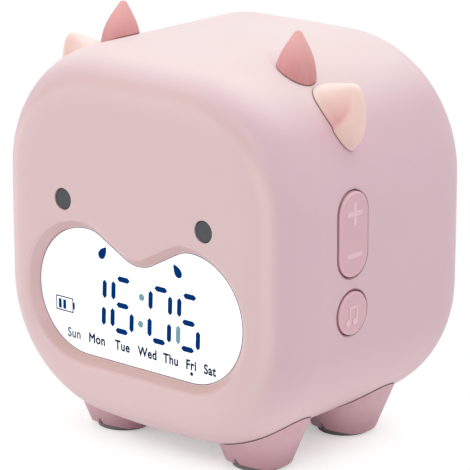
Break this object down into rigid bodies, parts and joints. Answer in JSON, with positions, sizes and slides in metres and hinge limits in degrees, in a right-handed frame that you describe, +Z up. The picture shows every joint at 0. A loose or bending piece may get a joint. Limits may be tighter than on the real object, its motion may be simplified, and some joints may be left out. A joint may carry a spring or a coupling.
{
  "type": "kids alarm clock with night light",
  "caption": "Soft cube-shaped bedside alarm clock on hooves, with a wide recessed digital display, horns and ears, press keys in its sides and a night light under the roof.",
  "frame": {"origin": "on the table, under the middle of the body", "axes": "+Z up, -Y out of the display, +X to the viewer's right when facing the display"},
  "size_m": [0.1014, 0.0786, 0.1125],
  "materials": {
    "shell_pink": "satin, slightly translucent",
    "cover_pink": "fine satin",
    "key_pink": "satin",
    "horn_rose": "matte",
    "ear_peach": "matte",
    "hoof_rose": "matte",
    "eye_grey": "semi-gloss",
    "window_clear": "polished",
    "lcd_white": "smooth",
    "frame_white": "matte",
    "board_green": "solder mask",
    "chip_black": "moulded",
    "connector_cream": "matte",
    "led_white": "smooth",
    "diffuser_white": "frosted",
    "speaker_black": "paper cone and steel basket",
    "battery_silver": "foil pouch",
    "contact_copper": "bare copper",
    "screw_steel": "zinc plated",
    "socket_steel": "plated",
    "pad_rubber": "matte"
  },
  "bodies": {
    "housing": {"main_shell": "shell_pink", "rear_cover": "cover_pink", "display_window": "window_clear", "lcd_panel": "lcd_white", "backlight_panel": "frame_white", "display_frame": "frame_white", "main_board": "board_green", "control_chip": "chip_black", "board_connectors": "connector_cream", "eye_left": "eye_grey", "eye_right": "eye_grey", "horn_left": "horn_rose", "horn_right": "horn_rose", "ear_left": "ear_peach", "ear_right": "ear_peach", "hoof_front_left": "hoof_rose", "hoof_front_right": "hoof_rose", "hoof_rear_left": "hoof_rose", "hoof_rear_right": "hoof_rose", "hoof_pads": "pad_rubber", "right_rocker_pin": "screw_steel", "left_rocker_pin": "screw_steel", "right_key_board": "board_green", "left_key_board": "board_green", "right_key_switches": "chip_black", "left_key_switches": "chip_black", "speaker": "speaker_black", "charge_board": "board_green", "usb_socket": "socket_steel", "battery": "battery_silver", "battery_tray": "frame_white", "light_board": "board_green", "night_light_leds": "led_white", "light_diffuser": "diffuser_white", "touch_plate": "contact_copper", "touch_spring": "contact_copper", "case_screws": "screw_steel", "board_screws": "screw_steel", "display_frame_screws": "screw_steel", "hoof_screws": "screw_steel", "key_board_screws": "screw_steel", "light_board_screws": "screw_steel", "tray_screws": "screw_steel", "charge_board_screws": "screw_steel"},
    "right_volume_rocker": {"right_volume_key": "key_pink"},
    "right_music_button": {"right_music_key": "key_pink"},
    "left_set_rocker": {"left_set_key": "key_pink"},
    "left_light_button": {"left_light_key": "key_pink"}
  },
  "joints": [
    {"name": "right_volume_rock", "type": "hinge", "parent": "housing", "child": "right_volume_rocker", "pos_m": [0.0443, -0.01327, 0.06488], "axis": [0, 1, 0], "range_deg": [-2.5, 2.5], "stiffness_Nm_per_rad": 0.05},
    {"name": "left_set_rock", "type": "hinge", "parent": "housing", "child": "left_set_rocker", "pos_m": [-0.0443, -0.01327, 0.06488], "axis": [0, 1, 0], "range_deg": [-2.5, 2.5], "stiffness_Nm_per_rad": 0.05},
    {"name": "right_music_press", "type": "slide", "parent": "housing", "child": "right_music_button", "axis": [-1, 0, 0], "range_m": [0, 0.0005], "stiffness_N_per_m": 400},
    {"name": "left_light_press", "type": "slide", "parent": "housing", "child": "left_light_button", "axis": [1, 0, 0], "range_m": [0, 0.0005], "stiffness_N_per_m": 400}
  ]
}
